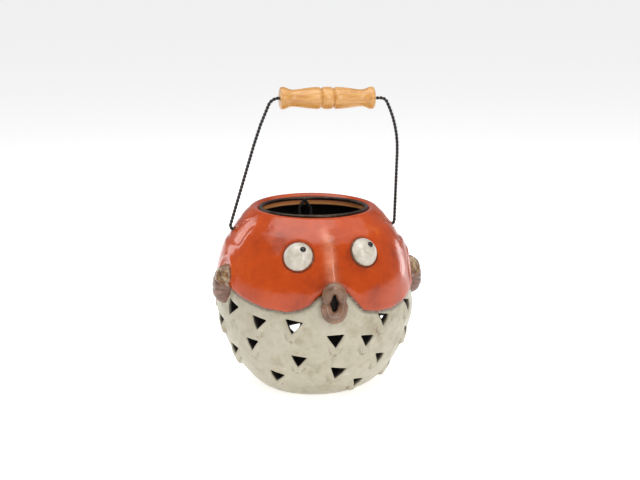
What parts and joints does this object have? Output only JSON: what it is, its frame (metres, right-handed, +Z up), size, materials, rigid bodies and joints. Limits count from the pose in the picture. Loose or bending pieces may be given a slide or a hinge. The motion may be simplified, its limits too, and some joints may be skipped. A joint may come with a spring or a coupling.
{
  "type": "ceramic candle lantern",
  "caption": "Pierced ceramic puffer-fish globe lantern with lift-out tealight holder, swinging wire bail and turned wooden grip.",
  "frame": {"origin": "centre of the flat base, on the globe's axis", "axes": "+Z up, +X to the right of the fish's face as a viewer sees it, the face looks along -Y"},
  "size_m": [0.1784, 0.1853, 0.2522],
  "materials": {
    "globe_glaze": "gloss",
    "eye_glaze": "gloss",
    "pupil_glaze": "gloss",
    "fin_glaze": "gloss",
    "dark_wire": "satin",
    "cup_steel": "satin",
    "bail_steel": "satin",
    "turned_wood": "varnished"
  },
  "bodies": {
    "globe": {"body": "globe_glaze", "eye_left": "eye_glaze", "eye_right": "eye_glaze", "pupil_left": "pupil_glaze", "pupil_right": "pupil_glaze", "upper_lip": "fin_glaze", "lower_lip": "fin_glaze", "fin_left": "fin_glaze", "fin_right": "fin_glaze", "tail_fin": "fin_glaze"},
    "holder": {"rim_ring": "dark_wire", "hanger_back": "dark_wire", "hanger_left": "dark_wire", "hanger_right": "dark_wire", "candle_cup": "cup_steel"},
    "bail": {"bail_wire": "bail_steel"},
    "grip": {"grip": "turned_wood"}
  },
  "joints": [
    {"name": "bail_swing", "type": "hinge", "parent": "globe", "child": "bail", "pos_m": [0, 0, 0.1345], "axis": [1, 0, 0], "range_deg": [-80, 80]},
    {"name": "grip_spin", "type": "hinge", "parent": "bail", "child": "grip", "pos_m": [0.0115, 0, 0.2421], "axis": [0.9999, 0, -0.0157], "continuous": true},
    {"name": "holder_lift", "type": "slide", "parent": "globe", "child": "holder", "axis": [0, 0, 1], "range_m": [0, 0.05]}
  ]
}
